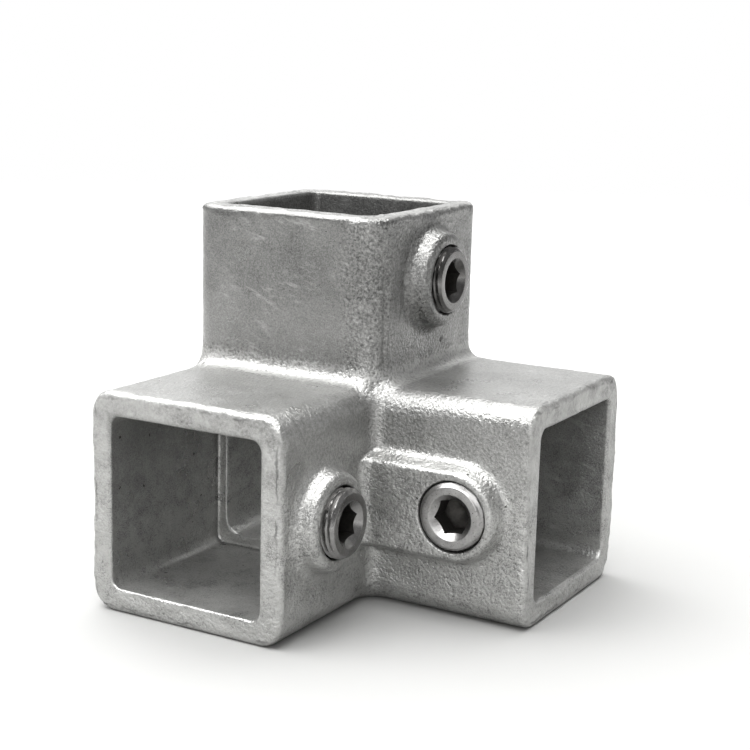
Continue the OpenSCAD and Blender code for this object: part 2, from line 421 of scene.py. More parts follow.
@dataclass
class SetScrew:
    """A turned set screw: thread, bevels, cup tip, countersink and hexagon socket."""

    SOCKET: ClassVar[str] = "in_socket"
    node: str
    facing: Facing
    hex_turn_deg: float
    finish: TurnedSteel
    radius_mm: float = 8.33
    length_mm: float = 13.5
    top_bevel_mm: float = 0.95
    top_reach: float = 1.4
    tip_bevel_mm: float = 1.4
    hex_af_mm: float = 8.0
    hex_depth_mm: float = 6.5
    sink_r_mm: float = 5.6
    cup_r_mm: float = 3.5
    cup_depth_mm: float = 1.2
    drill_step_mm: float = 0.3
    drill_depth_mm: float = 1.2
    pitch_mm: float = 1.337
    thread_depth_mm: float = 0.856
    flank: Step = Step(0.1, 0.9)
    edge_mm: float = 0.1
    sharp_deg: float = 38.0
    columns: int = 144
    rows_per_pitch: int = 14
    bevel_rows: int = 8
    easing: tuple[float, ...] = (0.0, 0.33, 0.67, 1.0)
    sink_rows: tuple[float, ...] = (0.35, 0.7, 0.93, 1.0)
    wall_rows_mm: tuple[float, ...] = (0.06, 0.5, 1.5, 3.0, 4.4)
    drill_rows: tuple[Point, ...] = ((1.0, 0.0), (0.6, 0.48), (0.25, 0.9))

    @property
    def axis(self) -> Vector:
        """Outward direction of the screw."""
        return Vector(self.facing.value[2])

    @property
    def centre(self) -> Vector:
        """Middle of the CAD screw's box."""
        low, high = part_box(self.node)
        return (low + high) / 2

    def hex_radius(self, angle: float) -> float:
        """Gives the distance from the axis to the hexagon's wall, at an angle from a corner."""
        flat = (angle % (math.pi / 3)) - math.pi / 6
        return self.hex_af_mm / 2 / math.cos(flat)

    def on_sink(self, share: float, angle: float) -> Point:
        """Gives the point at a share of the way down the countersink, which ends at the hexagon."""
        r = self.sink_r_mm + (self.hex_radius(angle) - self.sink_r_mm) * share
        return r, self.length_mm - (self.sink_r_mm - r)

    def on_wall(self, drop_mm: float, angle: float) -> Point:
        """Gives the point on the key socket's wall, at a drop below the countersink's end."""
        r, edge = self.on_sink(1.0, angle)
        return r, edge - drop_mm

    def on_floor(self, angle: float) -> Point:
        """Gives the point where the key socket's wall meets its floor."""
        return self.hex_radius(angle), self.length_mm - self.hex_depth_mm

    def eased(self, before: Point, corner: Point, after: Point, reach: float = 1.0) -> list[Point]:
        """Rounds a corner of the outline.

        Args:
            before: The outline's last point before the corner.
            corner: The corner.
            after: The outline's next point.
            reach: How far the rounding reaches, as a share of the screw's edge size.

        Returns:
            Points along the rounding.
        """
        here = Vector(corner)
        start = here + (Vector(before) - here).normalized() * self.edge_mm * reach
        end = here + (Vector(after) - here).normalized() * self.edge_mm * reach
        return [tuple(start * (1 - t) ** 2 + here * 2 * t * (1 - t) + end * t**2) for t in self.easing]

    def outside(self) -> list[Polar]:
        """Lists the rings from the middle of the tip, over the thread, to the countersink's end.

        Returns:
            For each ring, its distance from the axis and its height as a function of the angle.
        """
        top, pitches = self.length_mm, self.rows_per_pitch / self.pitch_mm
        cup_floor = (self.cup_r_mm - self.cup_depth_mm, self.cup_depth_mm)
        cup_rim = (self.cup_r_mm, 0)
        tip = (self.radius_mm - self.tip_bevel_mm, 0)
        low = (self.radius_mm, self.tip_bevel_mm)
        high = (self.radius_mm, top - self.top_bevel_mm)
        head = (self.radius_mm - self.top_bevel_mm, top)
        sink = (self.sink_r_mm, top)
        in_sink = (self.sink_r_mm - 1, top - 1)
        points = [(cup_floor[0] / 2, cup_floor[1]), cup_floor]
        points += self.eased(cup_floor, cup_rim, tip) + self.eased(cup_rim, tip, low)
        points += between(tip, low, math.ceil(self.tip_bevel_mm * pitches))
        points += between(low, high, math.ceil((high[1] - low[1]) * pitches), first=0)
        points += self.eased(low, high, head) + between(high, head, self.bevel_rows)
        points += self.eased(high, head, sink, self.top_reach) + [((head[0] + sink[0]) / 2, top)]
        points += self.eased(head, sink, in_sink)
        return turned(points) + [partial(self.on_sink, share) for share in self.sink_rows]

    def key_socket(self) -> list[Polar]:
        """Lists the rings down the key socket's wall and over its drilled floor.

        Returns:
            For each ring, its distance from the axis and its height as a function of the angle.
        """
        floor = self.length_mm - self.hex_depth_mm
        drill_r = self.hex_af_mm / 2 - self.drill_step_mm
        drilled = [(drill_r * share, floor - depth) for share, depth in self.drill_rows]
        return [partial(self.on_wall, drop) for drop in self.wall_rows_mm] + [self.on_floor] + turned(drilled)

    def lathe(self, rings: list[Polar], first_inside: int) -> bpy.types.Mesh:
        """Makes the closed mesh through the rings, with the key socket's faces marked.

        Args:
            rings: The rings from the middle of the tip to the bottom of the key socket.
            first_inside: Number of the first ring in the key socket.

        Returns:
            The mesh in the screw's own axes, in metres.
        """
        verts = [Vector((0, 0, self.cup_depth_mm))]
        for ring in rings:
            for k in range(self.columns):
                angle = 2 * math.pi * k / self.columns
                r, z = ring(angle)
                turn = angle + math.radians(self.hex_turn_deg)
                verts.append(Vector((r * math.cos(turn), r * math.sin(turn), z)))
        verts.append(Vector((0, 0, self.length_mm - self.hex_depth_mm - self.drill_depth_mm)))
        faces: list[tuple[int, ...]] = []
        in_socket: list[bool] = []
        last = 1 + (len(rings) - 1) * self.columns
        for k in range(self.columns):
            n = (k + 1) % self.columns
            faces.append((0, 1 + n, 1 + k))
            in_socket.append(False)
            for i in range(1, len(rings)):
                a, b = 1 + (i - 1) * self.columns, 1 + i * self.columns
                faces.append((a + k, a + n, b + n, b + k))
                in_socket.append(i >= first_inside)
            faces.append((last + k, last + n, len(verts) - 1))
            in_socket.append(True)
        mesh = bpy.data.meshes.new(self.node + "_mesh")
        mesh.from_pydata([v * MM for v in verts], [], faces)
        mesh.attributes.new(self.SOCKET, "BOOLEAN", "FACE").data.foreach_set("value", in_socket)
        return mesh

    def build(self) -> bpy.types.Object:
        """Makes the screw.

        Returns:
            The finished piece.
        """
        outside = self.outside()
        mesh = self.lathe(outside + self.key_socket(), len(outside))
        piece = add_piece("threaded_" + self.node, mesh)
        self.thread().put_on(piece)
        settle(piece)
        piece.data.transform(self.placement())
        piece.data.set_sharp_from_angle(angle=math.radians(self.sharp_deg))
        return piece

    def placement(self) -> Matrix:
        """Gives the turn and shift from the screw's own axes to its place in the row frame.

        Returns:
            The matrix.
        """
        turn = Matrix(self.facing.value).transposed()
        tip = self.centre - self.axis * self.length_mm * MM / 2
        return Matrix.Translation(tip) @ turn.to_4x4()

    def thread(self) -> TreeMaker:
        """Makes the tree that cuts the thread, a groove that winds round the screw.

        Returns:
            The tree.
        """
        sizes_mm = {
            "Radius": self.radius_mm,
            "Pitch": self.pitch_mm,
            "Depth": self.thread_depth_mm,
            "Socket radius": self.sink_r_mm,
        }
        maker = TreeMaker("screw_thread", sizes_mm)
        tree, given = maker.tree, maker.given
        place = add_node(tree, "GeometryNodeInputPosition").outputs[0]
        x, y, z = add_node(tree, SPLIT, (place,)).outputs
        radius = from_axis(tree, place, ORIGIN, UP)
        angle = add_node(tree, MATH, (y, x), operation="ARCTAN2")
        turn = add_node(tree, MATH, (angle, 2 * math.pi), operation="DIVIDE")
        rise = add_node(tree, MATH, (z, given["Pitch"]), operation="DIVIDE")
        along = add_node(tree, MATH, (rise, turn), operation="SUBTRACT")
        phase = add_node(tree, MATH, (along,), operation="FRACT")
        wave = add_node(tree, MATH, (phase, 2.0, -1.0), operation="MULTIPLY_ADD")
        wave = add_node(tree, MATH, (wave,), operation="ABSOLUTE")
        flank = add_node(tree, RANGE, self.flank.of(wave))
        root = add_node(tree, MATH, (given["Radius"], given["Depth"]), operation="SUBTRACT")
        groove = add_node(tree, MATH, (flank, given["Depth"], root), operation="MULTIPLY_ADD")
        share = add_node(tree, MATH, (groove, radius), operation="DIVIDE")
        share = add_node(tree, MATH, (share, 1.0), operation="MINIMUM")
        pull = add_node(tree, "ShaderNodeCombineXYZ", (share, share, 1.0))
        moved = add_node(tree, VECTOR, (place, pull), operation="MULTIPLY")
        outer = add_node(tree, MATH, (radius, given["Socket radius"]), operation="GREATER_THAN")
        inputs = {"Geometry": given["Geometry"], "Selection": outer, "Position": moved}
        cut = add_node(tree, MOVE, inputs)
        named = {"Name": self.SOCKET}
        socket = add_node(tree, "GeometryNodeInputNamedAttribute", named, data_type="BOOLEAN")
        steel = self.finish.build(self.node + "_turned_steel", self.centre, self.axis)
        socket_shade = bpy.data.materials.get(SocketShadeSteel.NAME) or SocketShadeSteel().build()
        maker.close(cut, ((steel, True), (socket_shade, socket)))
        return maker

    def attach(self, piece: bpy.types.Object) -> None:
        """Puts the screw on the frame in place of the CAD screw.

        Args:
            piece: The finished screw.
        """
        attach(piece, BODY)
        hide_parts(self.node)


class Along(Enum):
    """What a limit is measured along, with its number among the measures."""

    X = 0
    Y = 1
    Z = 2
    FROM_TOPS = 3
    FROM_AXES = 4


class CalmFace(NamedTuple):
    """A face with fewer wrinkles: the share that is missing, and the face's limits."""

    share: float
    limits: tuple[tuple[Along, Step], ...]


class Fillet(NamedTuple):
    """A straight inside corner: a point of it, its direction, and where along it it ends."""

    at_mm: tuple[float, float, float]
    axis: Vector
    along: Along
    end: Step


class Pit(NamedTuple):
    """A small hole that the sand left in the casting's skin."""

    at_mm: tuple[float, float, float]
    radius_mm: float


@dataclass(frozen=True)
class Regions:
    """Parts of the casting that the mould and the zinc left different from the rest.

    Its steps run, in millimetres, from where a mask starts to where it is full.
    """

    node: str = "corner_casting"
    axis_z_mm: float = 27.0
    socket_edge: Step = Step(21.3, 22.6)
    top_z_mm: float = 54.2
    calm_tops: CalmFace = CalmFace(0.25, ((Along.FROM_TOPS, Step(2.4, 1.2)),))
    calm_front: CalmFace = CalmFace(0.75, ((Along.Y, Step(-25.0, -26.4)), (Along.Z, Step(56.0, 62.0))))
    calm_side: CalmFace = CalmFace(
        0.2, ((Along.X, Step(25.0, 26.4)), (Along.Y, Step(-28.0, -33.0)), (Along.Z, Step(30.0, 42.0)))
    )
    calm_sockets: CalmFace = CalmFace(0.55, ((Along.FROM_AXES, Step(22.4, 21.4)),))
    front_edge_mm: tuple[float, float] = (24.0, -24.0)
    front_edge: Step = Step(10.5, 5.0, 0.0, 1.2)
    patch: Pattern = Pattern(13.0, 21.0)
    patch_strength: Step = Step(*MOST, 0.7, 1.15)
    low_strength: Step = Step(18.0, 36.0, 1.5, 1.0)
    seam_at_mm: tuple[float, float] = (27.0, -22.6)
    seam_near: Step = Step(1.3, 0.3)
    seam_ends: tuple[Step, ...] = (Step(56.0, 59.0), Step(80.0, 77.0))
    fillet_near: Step = Step(6.0, 1.8)
    fillets: tuple[Fillet, ...] = (
        Fillet((0.0, -28.0, 55.0), Vector((1, 0, 0)), Along.X, Step(30.0, 25.0)),
        Fillet((28.0, 0.0, 55.0), Vector((0, 1, 0)), Along.Y, Step(-30.0, -25.0)),
    )
    gap_near: Step = Step(8.85, 8.55)
    gap_height: Step = Step(29.0, 31.2)
    pit_edge: Pattern = Pattern(0.8, 61.0, 1.0)
    pit_shift_mm: float = 0.9
    pit_core: float = 0.3
    pits: tuple[Pit, ...] = (
        Pit((-20.5, -27.0, 54.6), 1.3),
        Pit((-22.4, -29.0, 54.0), 0.8),
        Pit((29.4, -13.4, 72.3), 0.7),
        Pit((27.0, 4.0, 48.5), 0.8),
        Pit((27.0, -9.5, 49.5), 0.6),
        Pit((20.5, -31.0, 13.0), 0.8),
        Pit((27.0, 6.5, 60.8), 0.8),
    )

    def from_centre(self, tree: bpy.types.NodeTree, place: Any) -> bpy.types.NodeOutputs:
        """Adds how far a place is from the point where the arms' axes meet, along x, y and z.

        Args:
            tree: The tree that it belongs to.
            place: Output with coordinates in metres.

        Returns:
            The three distances' outputs in metres.
        """
        off = add_node(tree, VECTOR, (place, UP * self.axis_z_mm * MM), operation="SUBTRACT")
        size = add_node(tree, VECTOR, (off,), operation="ABSOLUTE")
        return add_node(tree, SPLIT, (size,)).outputs

    def from_axes(self, tree: bpy.types.NodeTree, place: Any) -> bpy.types.Node:
        """Adds how far a place is, squarely, from the axis of the arm that it is on.

        Args:
            tree: The tree that it belongs to.
            place: Output with coordinates in metres.

        Returns:
            The distance in metres: the middle one of the three distances from the common centre.
        """
        x, y, z = self.from_centre(tree, place)
        least = add_node(tree, MATH, (x, y), operation="MINIMUM")
        most = add_node(tree, MATH, (x, y), operation="MAXIMUM")
        middle = add_node(tree, MATH, (most, z), operation="MINIMUM")
        return add_node(tree, MATH, (least, middle), operation="MAXIMUM")

    def mouths(self, tree: bpy.types.NodeTree, place: Any, depth: Step) -> bpy.types.Node:
        """Adds the mask of the three mouths, on their faces and outsides but not in their sockets.

        Args:
            tree: The tree that the mask belongs to.
            place: Output with coordinates in metres.
            depth: Distances in millimetres from a mouth's plane at which the mask starts and is full.

        Returns:
            The mask.
        """
        low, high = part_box(self.node)
        first, last = depth.first * MM, depth.last * MM
        ends = (
            Step(high.x - first, high.x - last),
            Step(low.y + first, low.y + last),
            Step(high.z - first, high.z - last),
        )
        sides = self.from_centre(tree, place)
        at = add_node(tree, SPLIT, (place,)).outputs
        total: Any = 0.0
        for k, end in enumerate(ends):
            close = add_node(tree, RANGE, end.of(at[k]), **SMOOTH)
            wide = add_node(tree, MATH, (sides[(k + 1) % 3], sides[(k + 2) % 3]), operation="MAXIMUM")
            wall = add_node(tree, RANGE, self.socket_edge.of(wide, MM), **SMOOTH)
            mask = add_node(tree, MATH, (close, wall), operation="MULTIPLY")
            total = add_node(tree, MATH, (mask, total), operation="MAXIMUM")
        return total

    def calm(self, tree: bpy.types.NodeTree, place: Any) -> bpy.types.Node:
        """Adds how calm the skin is: on the tops, the upright's front, the left arm's side, in sockets.

        Args:
            tree: The tree that the mask belongs to.
            place: Output with coordinates in metres.

        Returns:
            The share of the wrinkles that is missing.
        """
        x, y, z = add_node(tree, SPLIT, (place,)).outputs
        drop = add_node(tree, MATH, (z, self.top_z_mm * MM), operation="SUBTRACT")
        drop = add_node(tree, MATH, (drop,), operation="ABSOLUTE")
        measures = (x, y, z, drop, self.from_axes(tree, place))
        total: Any = 0.0
        for share, limits in (self.calm_tops, self.calm_front, self.calm_side, self.calm_sockets):
            mask: Any = share
            for along, limit in limits:
                side = add_node(tree, RANGE, limit.of(measures[along.value], MM), **SMOOTH)
                mask = add_node(tree, MATH, (mask, side), operation="MULTIPLY")
            total = add_node(tree, MATH, (mask, total), operation="MAXIMUM")
        return total

    def coarse(self, tree: bpy.types.NodeTree, place: Any) -> bpy.types.Node:
        """Adds the strength of the wrinkles: most down the front edge, least on the calm faces.

        Args:
            tree: The tree that the mask belongs to.
            place: Output with coordinates in metres.

        Returns:
            The strength.
        """
        away = from_axis(tree, place, Vector((*self.front_edge_mm, 0)) * MM, UP)
        edge = add_node(tree, RANGE, self.front_edge.of(away, MM), **SMOOTH)
        patch = add_node(tree, NOISE, self.patch.over(place), **SEEDED)
        patch = add_node(tree, RANGE, self.patch_strength.of(patch))
        rest = add_node(tree, MATH, (1.0, self.calm(tree, place)), operation="SUBTRACT")
        patch = add_node(tree, MATH, (patch, rest), operation="MULTIPLY")
        z = add_node(tree, SPLIT, (place,)).outputs["Z"]
        low = add_node(tree, RANGE, self.low_strength.of(z, MM))
        patch = add_node(tree, MATH, (patch, low), operation="MULTIPLY")
        return add_node(tree, MATH, (edge, patch), operation="MAXIMUM")

    def seam_line(self, tree: bpy.types.NodeTree, place: Any) -> bpy.types.Node:
        """Adds the mask of the mould's seam, a shallow groove beside the upright's front edge.

        Args:
            tree: The tree that the mask belongs to.
            place: Output with coordinates in metres.

        Returns:
            The mask.
        """
        away = from_axis(tree, place, Vector((*self.seam_at_mm, 0)) * MM, UP)
        mask = add_node(tree, RANGE, self.seam_near.of(away, MM), **SMOOTH)
        z = add_node(tree, SPLIT, (place,)).outputs["Z"]
        for end in self.seam_ends:
            inside = add_node(tree, RANGE, end.of(z, MM), **SMOOTH)
            mask = add_node(tree, MATH, (mask, inside), operation="MULTIPLY")
        return mask

    def full_fillets(self, tree: bpy.types.NodeTree, place: Any) -> bpy.types.Node:
        """Adds the mask of the fillets at the foot of the upright, where the metal ran full.

        Args:
            tree: The tree that the mask belongs to.
            place: Output with coordinates in metres.

        Returns:
            The mask.
        """
        at = add_node(tree, SPLIT, (place,)).outputs
        total: Any = 0.0
        for fillet in self.fillets:
            away = from_axis(tree, place, Vector(fillet.at_mm) * MM, fillet.axis)
            near = add_node(tree, RANGE, self.fillet_near.of(away, MM), **SMOOTH)
            inside = add_node(tree, RANGE, fillet.end.of(at[fillet.along.value], MM))
            near = add_node(tree, MATH, (near, inside), operation="MULTIPLY")
            total = add_node(tree, MATH, (near, total), operation="MAXIMUM")
        return total

    def sand_pits(self, tree: bpy.types.NodeTree, place: Any) -> bpy.types.Node:
        """Adds the mask of the pits, with ragged edges.

        Args:
            tree: The tree that the mask belongs to.
            place: Output with coordinates in metres.

        Returns:
            The mask.
        """
        ragged = add_node(tree, NOISE, self.pit_edge.over(place), **SEEDED)
        shift = self.pit_shift_mm * MEAN
        total: Any = 0.0
        for pit in self.pits:
            off = add_node(tree, VECTOR, (place, Vector(pit.at_mm) * MM), operation="DISTANCE")
            off = (ragged, self.pit_shift_mm * MM, off.outputs["Value"])
            off = add_node(tree, MATH, off, operation="MULTIPLY_ADD")
            edge = Step(pit.radius_mm + shift, pit.radius_mm * self.pit_core + shift)
            near = add_node(tree, RANGE, edge.of(off, MM), **SMOOTH)
            total = add_node(tree, MATH, (near, total), operation="MAXIMUM")
        return total

    def screw_gaps(self, tree: bpy.types.NodeTree, place: Any, screws: list[SetScrew]) -> bpy.types.Node:
        """Adds the mask of the narrow gaps between screws and the mouths of their holes.

        Args:
            tree: The tree that the mask belongs to.
            place: Output with coordinates in metres.
            screws: The set screws.

        Returns:
            The mask.
        """
        total: Any = 0.0
        for screw in screws:
            radius = from_axis(tree, place, screw.centre, screw.axis)
            near = add_node(tree, RANGE, self.gap_near.of(radius, MM), **SMOOTH)
            along = add_node(tree, VECTOR, (place, screw.axis), operation="DOT_PRODUCT").outputs["Value"]
            high = add_node(tree, RANGE, self.gap_height.of(along, MM))
            near = add_node(tree, MATH, (near, high), operation="MULTIPLY")
            total = add_node(tree, MATH, (near, total), operation="MAXIMUM")
        return total


@dataclass(frozen=True)
class GalvanisedCasting:
    """Sand-cast iron under hot-dip zinc.

    Its steps on heights and distances are in millimetres, and those on patterns have no unit.
    """

    dark_zinc_and_shade: str = "#4b4b4a"
    pale_zinc_and_light: str = "#ababa9"
    pale_run_and_highlight: str = "#c2c2c0"
    pale_lip: str = "#b4b4b2"
    dross_and_shade: str = "#33322f"
    peel: Pattern = Pattern(0.75, 3.0)
    peel_depth_mm: float = 0.3
    peel_shade_and_highlight: float = 1.1
    grain: Pattern = Pattern(0.32, 7.0, twist=0.4)
    grain_depth_mm: float = 0.08
    grain_tone: Step = Step(*LOW_MM, 2.4, 0.8)
    cloud: Pattern = Pattern(15.0, 11.0, 4.0)
    cloud_tone: float = 0.45
    band: Pattern = Pattern(4.0, 37.0, 3.0, 0.4)
    band_tone: Step = Step(*LOW_MM, 1.3, 0.2)
    painted_light_by_height: Step = Step(10.0, 75.0, 0.72, 0.02)
    patina: Pattern = Pattern(9.0, 17.0, 3.0)
    metallic: Step = Step(*MOST, 0.76, 0.66)
    roughness: Step = Step(*MOST, 0.27, 0.35)
    lip_depth: Step = Step(1.1, 0.35)
    lip_rough: float = 0.12
    lip_patch: Pattern = Pattern(5.0, 35.0, 4.0)
    lip_share: Step = Step(0.36, 0.6, 0.0, 0.65)
    top_lip_painted_shade: Step = Step(90.0, 95.0, 1.0, 0.2)
    fillet_rough: float = 0.13
    fillet_highlight_peel: float = 1.8
    fillet_share: Step = Step(0.55, 1.0, 0.0, 0.4)
    run: Pattern = Pattern(0.9, 31.0)
    run_slant_deg: float = -15.0
    run_stretch: tuple[float, float, float] = (0.25, 1.0, 1.0)
    run_share: Step = Step(0.5, 0.75, 0.0, 0.3)
    run_patch: Pattern = Pattern(8.0, 33.0, 1.0)
    run_patch_share: Step = Step(0.42, 0.68)
    run_painted_light_low: Step = Step(*LOW_MM, 2.6, 1.0)
    shade_line_at_mm: float = 25.6
    shade_line_edge: Pattern = Pattern(2.4, 51.0, 4.0)
    shade_line_shift_mm: float = 2.4
    shade_line_share: Step = Step(0.45, 0.1, 0.0, 0.7)
    shade_line_break: Pattern = Pattern(5.0, 53.0)
    shade_line_break_share: Step = Step(0.47, 0.62)
    speck_cell_mm: float = 4.2
    speck_edge: Pattern = Pattern(0.5, 41.0)
    speck_shift: tuple[float, float] = (0.3, -0.12)
    speck_size: Step = Step(0.0, 1.0, 0.04, 0.14)
    speck_rarity: float = 0.9
    regions: Regions = field(default_factory=Regions)

    def build(self, screws: list[SetScrew]) -> bpy.types.Material:
        """Makes the material.

        Args:
            screws: The set screws, whose gaps get painted shade.

        Returns:
            The material.
        """
        # Hot-dip zinc gives the eye a silver-grey skin, wrinkled like orange peel: it glints where it is
        # bright, lies chalky where its patina is thick, and has a few specks of dross. Its colour also
        # carries painted shade and painted highlight in the wrinkles, painted light that grows towards the
        # floor, a painted highlight along the fillets, a painted shade line round each mouth, and painted
        # shade in the screw gaps and sand pits.
        material, tree = new_tree("galvanised_cast_iron")
        place = add_node(tree, COORDINATES).outputs["Object"]
        peel = add_node(tree, NOISE, self.peel.over(place), **SEEDED)
        peel = add_node(tree, MATH, (peel, MEAN), operation="SUBTRACT")
        peel = add_node(tree, MATH, (peel, self.regions.coarse(tree, place)), operation="MULTIPLY")
        grain = add_node(tree, NOISE, self.grain.over(place), **SEEDED)
        patina = add_node(tree, NOISE, self.patina.over(place), **SEEDED)
        lips = self.regions.mouths(tree, place, self.lip_depth)
        fillets = self.regions.full_fillets(tree, place)
        metallic = add_node(tree, RANGE, self.metallic.of(patina))
        rough = add_node(tree, RANGE, self.roughness.of(patina))
        for mask, more in ((lips, self.lip_rough), (fillets, self.fillet_rough)):
            rough = add_node(tree, MATH, (mask, more, rough), operation="MULTIPLY_ADD")
        bump = add_node(tree, BUMP, {"Height": peel, "Distance": self.peel_depth_mm * MM})
        uneven = {"Height": grain, "Distance": self.grain_depth_mm * MM, "Normal": bump}
        bump = add_node(tree, BUMP, uneven)
        gaps = self.regions.screw_gaps(tree, place, screws)
        holes = self.regions.sand_pits(tree, place)
        layers = (
            # Painted shade and highlight of the wrinkles and painted light by height, over the zinc's own
            # clouds.
            (self.tone(tree, place, peel, grain), self.pale_zinc_and_light),
            (self.runs(tree, place), self.pale_run_and_highlight),
            (self.worn_lips(tree, place, lips), self.pale_lip),
            # Painted highlight along the full fillets, in the pale run colour.
            (self.painted_fillet_highlight(tree, peel, fillets), self.pale_run_and_highlight),
            # Painted shade along the rounded outside edge of each mouth.
            (self.painted_shade_line(tree, place, lips), self.dark_zinc_and_shade),
            (self.specks(tree, place), self.dross_and_shade),
            # Painted shade in the gaps round the screws and in the sand pits, in the dross colour.
            (add_node(tree, MATH, (gaps, holes), operation="MAXIMUM"), self.dross_and_shade),
        )
        colour: Any = linear(self.dark_zinc_and_shade)
        for share, tint in layers:
            colours = {0: share, 6: colour, 7: linear(tint)}
            colour = add_node(tree, MIX, colours, data_type="RGBA").outputs[2]
        inputs = {"Base Color": colour, "Metallic": metallic, "Roughness": rough, "Normal": bump}
        add_node(tree, SURFACE, (add_node(tree, PRINCIPLED, inputs),))
        return material

    def tone(self, tree: bpy.types.NodeTree, place: Any, peel: Any, grain: Any) -> bpy.types.Node:
        """Adds how pale the zinc is: painted shade in the wrinkles' hollows and painted highlight on their
        crests, painted light that is strongest near the floor and fades out towards the top, and soft clouds
        of the zinc's own tone.

        Args:
            tree: The material's tree.
            place: Output with coordinates in metres.
            peel: Height of the wrinkles about zero.
            grain: The grain, 0 to 1.

        Returns:
            The tone, which the colours' mix keeps within 0 to 1.
        """
        z = add_node(tree, SPLIT, (place,)).outputs["Z"]
        # Painted light: the zinc is painted paler near the floor and darker towards the top.
        tone = add_node(tree, RANGE, self.painted_light_by_height.of(z, MM))
        cloud = add_node(tree, NOISE, self.cloud.over(place), **SEEDED)
        tone = add_node(tree, MATH, (cloud, self.cloud_tone, tone), operation="MULTIPLY_ADD")
        # Painted shade in the wrinkles' hollows and painted highlight on their crests.
        tone = add_node(tree, MATH, (peel, self.peel_shade_and_highlight, tone), operation="MULTIPLY_ADD")
        band = add_node(tree, NOISE, self.band.over(place), **SEEDED)
        for pattern, strength in ((band, self.band_tone), (grain, self.grain_tone)):
            wave = add_node(tree, MATH, (pattern, MEAN), operation="SUBTRACT")
            share = add_node(tree, RANGE, strength.of(z, MM))
            tone = add_node(tree, MATH, (wave, share, tone), operation="MULTIPLY_ADD")
        return tone

    def runs(self, tree: bpy.types.NodeTree, place: Any) -> bpy.types.Node:
        """Adds the mask of the faint slanting streaks where the zinc ran, made stronger near the floor as
        painted light on the lower faces.

        Args:
            tree: The material's tree.
            place: Output with coordinates in metres.

        Returns:
            The mask.
        """
        slant = (0.0, math.radians(self.run_slant_deg), 0.0)
        along = add_node(tree, "ShaderNodeMapping", {"Vector": place, "Rotation": slant})
        along = add_node(tree, VECTOR, (along, self.run_stretch), operation="MULTIPLY")
        line = add_node(tree, NOISE, self.run.over(along), **SEEDED)
        line = add_node(tree, RANGE, self.run_share.of(line), **SMOOTH)
        patch = add_node(tree, NOISE, self.run_patch.over(place), **SEEDED)
        patch = add_node(tree, RANGE, self.run_patch_share.of(patch), **SMOOTH)
        z = add_node(tree, SPLIT, (place,)).outputs["Z"]
        # Painted light: the pale streaks grow stronger near the floor, lightening the lower faces.
        low = add_node(tree, RANGE, self.run_painted_light_low.of(z, MM))
        patch = add_node(tree, MATH, (patch, low), operation="MULTIPLY")
        return add_node(tree, MATH, (line, patch), operation="MULTIPLY")

    def worn_lips(self, tree: bpy.types.NodeTree, place: Any, lips: Any) -> bpy.types.Node:
        """Adds the mask of the patches where the mouths are worn pale, cut back on the upright's top mouth as
        painted shade under the top light.

        Args:
            tree: The material's tree.
            place: Output with coordinates in metres.
            lips: Mask of the mouths.

        Returns:
            The mask.
        """
        patch = add_node(tree, NOISE, self.lip_patch.over(place), **SEEDED)
        patch = add_node(tree, RANGE, self.lip_share.of(patch))
        pale = add_node(tree, MATH, (lips, patch), operation="MULTIPLY")
        z = add_node(tree, SPLIT, (place,)).outputs["Z"]
        # Painted shade: the upright's mouth, which faces the top light, keeps less of the pale wear.
        top = add_node(tree, RANGE, self.top_lip_painted_shade.of(z, MM))
        return add_node(tree, MATH, (pale, top), operation="MULTIPLY")

    def painted_fillet_highlight(self, tree: bpy.types.NodeTree, peel: Any, fillets: Any) -> bpy.types.Node:
        """Adds the mask of the painted highlight on the crests of the full fillets.

        Args:
            tree: The material's tree.
            peel: Height of the wrinkles about zero.
            fillets: Mask of the full fillets.

        Returns:
            The mask.
        """
        highlight = add_node(tree, MATH, (peel, self.fillet_highlight_peel, fillets), operation="MULTIPLY_ADD")
        return add_node(tree, RANGE, self.fillet_share.of(highlight))

    def painted_shade_line(self, tree: bpy.types.NodeTree, place: Any, lips: Any) -> bpy.types.Node:
        """Adds the mask of the painted shade: a broken dark line that follows the rounded outside edge of
        each mouth's face.

        Args:
            tree: The material's tree.
            place: Output with coordinates in metres.
            lips: Mask of the mouths.

        Returns:
            The mask.
        """
        ragged = add_node(tree, NOISE, self.shade_line_edge.over(place), **SEEDED)
        shifted = (ragged, self.shade_line_shift_mm * MM, self.regions.from_axes(tree, place))
        shifted = add_node(tree, MATH, shifted, operation="MULTIPLY_ADD")
        middle = (self.shade_line_at_mm + self.shade_line_shift_mm * MEAN) * MM
        off = add_node(tree, MATH, (shifted, middle), operation="SUBTRACT")
        off = add_node(tree, MATH, (off,), operation="ABSOLUTE")
        line = add_node(tree, RANGE, self.shade_line_share.of(off, MM))
        broken = add_node(tree, NOISE, self.shade_line_break.over(place), **SEEDED)
        broken = add_node(tree, RANGE, self.shade_line_break_share.of(broken))
        line = add_node(tree, MATH, (line, broken), operation="MULTIPLY")
        return add_node(tree, MATH, (line, lips), operation="MULTIPLY")

